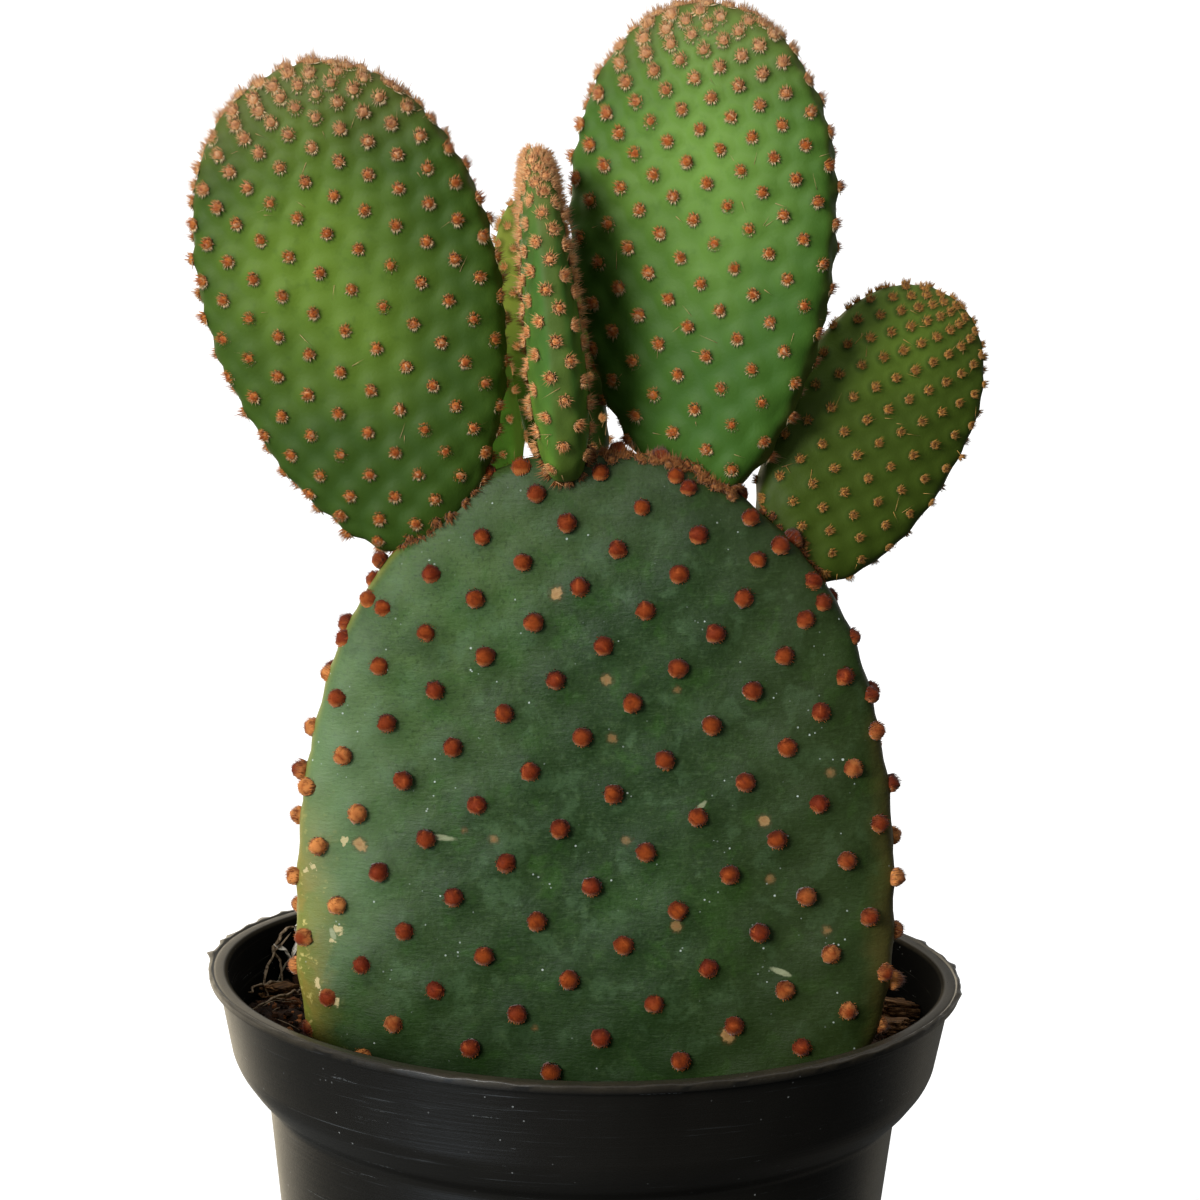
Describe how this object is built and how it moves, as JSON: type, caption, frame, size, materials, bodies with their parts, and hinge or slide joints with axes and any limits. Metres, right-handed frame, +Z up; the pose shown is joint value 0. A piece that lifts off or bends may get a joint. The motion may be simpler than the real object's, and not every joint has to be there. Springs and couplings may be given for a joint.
{
  "type": "potted bunny ears cactus",
  "caption": "Bunny ears prickly pear: flat oval pads with rust-coloured bristle tufts, grown on an old pad that stands in soil in a black plastic nursery pot.",
  "frame": {"origin": "middle of the pot's underside, on the plane that it stands on", "axes": "+Z up, the plant's broad front faces -Y, +X to the viewer's right"},
  "size_m": [0.1248, 0.12, 0.2592],
  "materials": {
    "pot_plastic": "satin black injection-moulded plastic, scuffed and finely scratched, with a lighter worn lip",
    "potting_soil": "reddish-brown crumbly peat and coconut fibre",
    "old_pad": "waxy blue-green skin with corky scars and dark red-brown tufts",
    "young_pad": "satin fresh green skin on low mounds with orange tufts and pale bristles",
    "bark": "layered brown bark"
  },
  "bodies": {
    "root": {"pot": "pot_plastic", "soil": "potting_soil", "pad_base": "old_pad", "pad_left": "young_pad", "pad_left_back": "young_pad", "pad_mid": "young_pad", "pad_mid_back": "young_pad", "pad_right": "young_pad", "pad_far_right": "young_pad", "bark_chip_1": "bark", "bark_chip_2": "bark", "bark_chip_3": "bark"}
  },
  "joints": []
}
